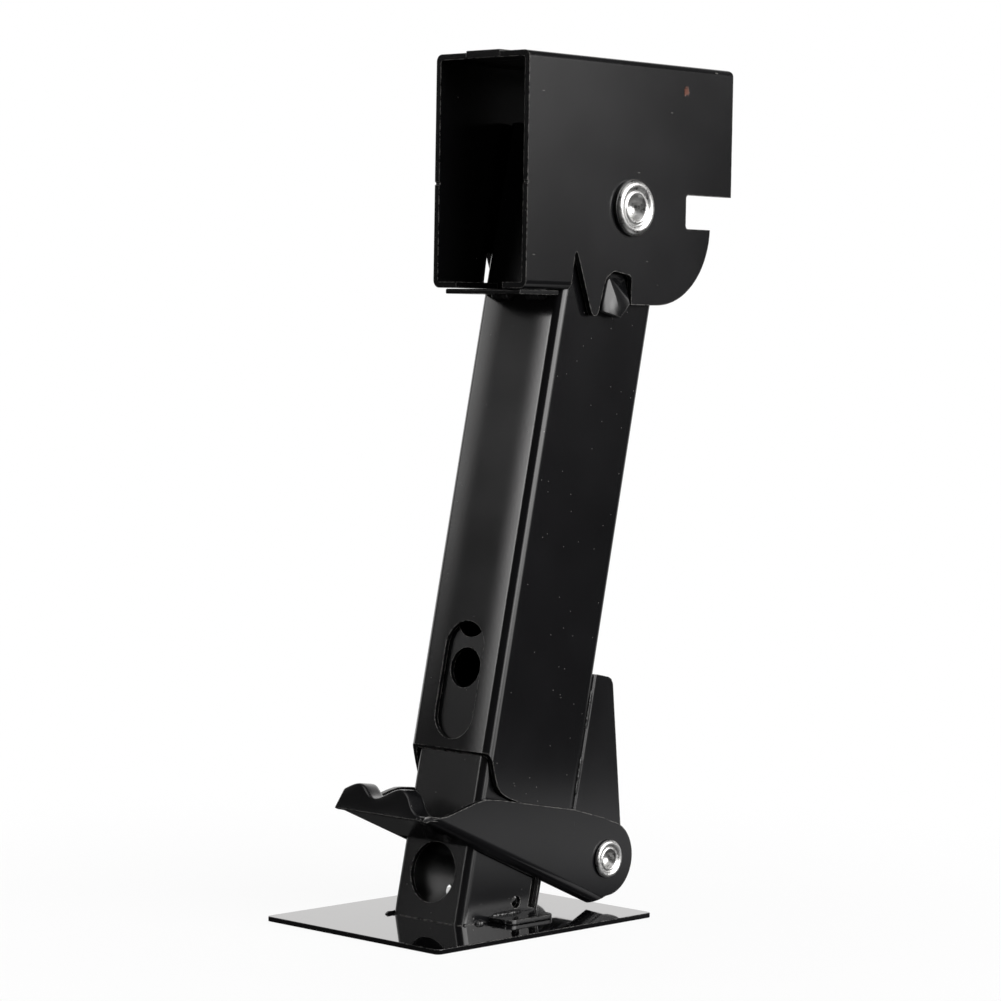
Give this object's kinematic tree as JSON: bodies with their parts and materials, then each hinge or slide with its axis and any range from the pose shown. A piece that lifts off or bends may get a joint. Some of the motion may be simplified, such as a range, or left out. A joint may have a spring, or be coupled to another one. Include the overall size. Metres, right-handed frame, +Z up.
{
  "type": "folding stabiliser jack",
  "caption": "Swing-down trailer stabiliser jack: sheet bracket, rectangular leg hinged on a tubular rivet, telescoping inner leg with a level foot plate, and a foot lever.",
  "frame": {"origin": "centre of the foot plate's underside, on the ground", "axes": "+Z up; front of the jack towards -Y, lever pivot and stowed leg towards +Y; swing axis along X"},
  "size_m": [0.1194, 0.237, 0.4308],
  "materials": {
    "black_paint": "gloss black paint over mild steel",
    "black_gloss": "high gloss black paint",
    "weld": "weld bead under black paint",
    "zinc": "bright zinc plate",
    "bare_steel": "oiled steel",
    "spring_wire": "oil-hardened spring wire",
    "pad": "black nylon"
  },
  "bodies": {
    "bracket": {"mount_bracket": "black_paint", "top_strap": "black_paint", "detent_right": "black_paint", "detent_left": "black_paint", "pivot_rivet": "zinc", "pivot_washer_right": "black_paint", "pivot_washer_left": "black_paint"},
    "leg": {"outer_leg": "black_paint", "pivot_bush": "bare_steel", "stop_plate": "black_paint", "stop_welds": "weld", "ear_bracket": "black_paint", "ear_welds": "weld", "guide_pad": "pad", "lever_rivet": "zinc", "lever_bush": "bare_steel", "spacer_right": "bare_steel", "spacer_left": "bare_steel"},
    "foot": {"inner_leg": "black_paint", "stop_block": "bare_steel", "foot_plate": "black_gloss", "foot_tab_right": "black_paint", "foot_tab_left": "black_paint", "foot_weld_right": "weld", "foot_weld_left": "weld"},
    "lever": {"foot_lever": "black_paint", "pedal_tread": "black_paint", "grip_bar": "bare_steel", "lever_spring": "spring_wire"}
  },
  "joints": [
    {"name": "leg_swing", "type": "hinge", "parent": "bracket", "child": "leg", "pos_m": [0, 0.083, 0.3558], "axis": [1, 0, 0], "range_deg": [0, 100]},
    {"name": "foot_slide", "type": "slide", "parent": "leg", "child": "foot", "axis": [0, -0.2028, -0.9792], "range_m": [0, 0.18]},
    {"name": "lever_press", "type": "hinge", "parent": "leg", "child": "lever", "pos_m": [0, 0.07401, 0.02638], "axis": [1, 0, 0], "range_deg": [0, 12], "stiffness_Nm_per_rad": 2, "springref_deg": -17.19}
  ]
}
